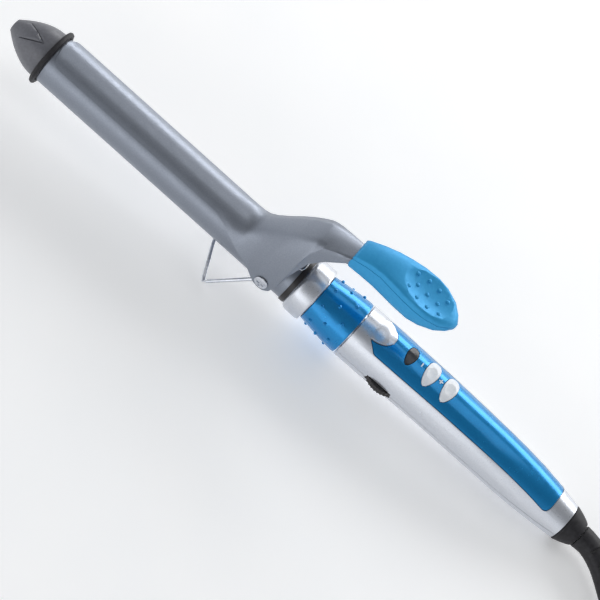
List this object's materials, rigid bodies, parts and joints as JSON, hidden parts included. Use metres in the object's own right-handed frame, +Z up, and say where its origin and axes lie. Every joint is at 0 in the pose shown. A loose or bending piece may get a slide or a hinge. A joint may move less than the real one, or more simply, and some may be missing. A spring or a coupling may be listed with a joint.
{
  "type": "curling iron",
  "caption": "Spring-clip curling iron with a round metal barrel, thumb lever, silver and blue handle, wire stand, temperature dial and swivel mains cord.",
  "frame": {"origin": "middle of the base of the tool's own box, without its cord, on the surface it stands on", "axes": "+X along the tool from the cool tip towards the cord, +Z up on the thumb lever's side; the tool stands on its wire stand with the tip raised 2.87 degrees"},
  "size_m": [0.5379, 0.0756, 0.0802],
  "materials": {
    "titanium_finish": "light titanium-coloured metallic coat, soft sheen",
    "tip_plastic": "grey heat-proof moulding, satin",
    "pearl_silver": "pearl silver paint on a moulding",
    "panel_blue": "glossy blue with a fine pearl",
    "soft_blue": "soft-touch blue, satin",
    "black_rubber": "matt black",
    "black_plastic": "satin black",
    "button_white": "white, satin",
    "smoked_lens": "smoked clear lens",
    "bright_steel": "bright nickel plate",
    "zinc_steel": "plain zinc plate",
    "brass": "plain",
    "aluminium": "cast, plain",
    "white_ceramic": "plain",
    "board": "printed board",
    "red_led": "tinted"
  },
  "bodies": {
    "handle": {"barrel_tube": "titanium_finish", "cool_tip": "tip_plastic", "tip_ring": "black_rubber", "heater_plate": "white_ceramic", "heat_shoe_upper": "aluminium", "heat_shoe_lower": "aluminium", "temperature_sensor": "white_ceramic", "thermal_fuse": "zinc_steel", "hinge_bar": "zinc_steel", "hinge_screw_left": "bright_steel", "hinge_screw_right": "bright_steel", "clip_spring": "bright_steel", "heat_collar": "black_plastic", "nose_sleeve": "pearl_silver", "grip_ring": "panel_blue", "handle_upper_shell": "pearl_silver", "handle_lower_shell": "pearl_silver", "control_panel": "panel_blue", "indicator_lens": "smoked_lens", "indicator_led": "red_led", "circuit_board": "board", "on_switch": "black_plastic", "off_switch": "black_plastic", "triac": "black_plastic", "capacitor": "aluminium", "potentiometer": "black_plastic", "housing_screw_front": "zinc_steel", "housing_screw_rear": "zinc_steel", "contact_brush_live": "brass", "contact_brush_neutral": "brass"},
    "clip": {"clip_shell": "titanium_finish", "thumb_grip_upper": "soft_blue", "thumb_grip_lower": "soft_blue"},
    "stand": {"stand_wire": "bright_steel"},
    "dial": {"temperature_dial": "black_plastic"},
    "on_button": {"power_on_button": "button_white"},
    "off_button": {"power_off_button": "button_white"},
    "cord_swivel": {"swivel_bush": "black_rubber", "slip_ring_live": "brass", "slip_ring_neutral": "brass", "strain_relief": "black_rubber", "cord_lead": "black_rubber", "cord_coil": "black_rubber", "cord_tail": "black_rubber", "cord_tie": "black_rubber", "plug_body": "black_plastic", "plug_blade_live": "brass", "plug_blade_neutral": "brass"}
  },
  "joints": [
    {"name": "clip_hinge", "type": "hinge", "parent": "handle", "child": "clip", "pos_m": [-0.01303, 0, 0.02208], "axis": [0, 1, 0], "range_deg": [0, 20], "stiffness_Nm_per_rad": 1, "springref_deg": -17.19, "deforming": ["clip_spring"]},
    {"name": "stand_hinge", "type": "hinge", "parent": "handle", "child": "stand", "pos_m": [-0.01303, 0, 0.02208], "axis": [0, 1, 0], "range_deg": [-55, 0]},
    {"name": "dial_turn", "type": "hinge", "parent": "handle", "child": "dial", "pos_m": [0.06119, -0.005, 0.01656], "axis": [0.0501, 0, 0.9987], "range_deg": [-135, 135]},
    {"name": "on_press", "type": "slide", "parent": "handle", "child": "on_button", "axis": [-0.0501, 0, -0.9987], "range_m": [0, 0.0008], "stiffness_N_per_m": 500, "springref_m": -0.001},
    {"name": "off_press", "type": "slide", "parent": "handle", "child": "off_button", "axis": [-0.0501, 0, -0.9987], "range_m": [0, 0.0008], "stiffness_N_per_m": 500, "springref_m": -0.001},
    {"name": "cord_turn", "type": "hinge", "parent": "handle", "child": "cord_swivel", "pos_m": [0.17262, 0, 0.01047], "axis": [0.9987, 0, -0.0501], "continuous": true}
  ]
}
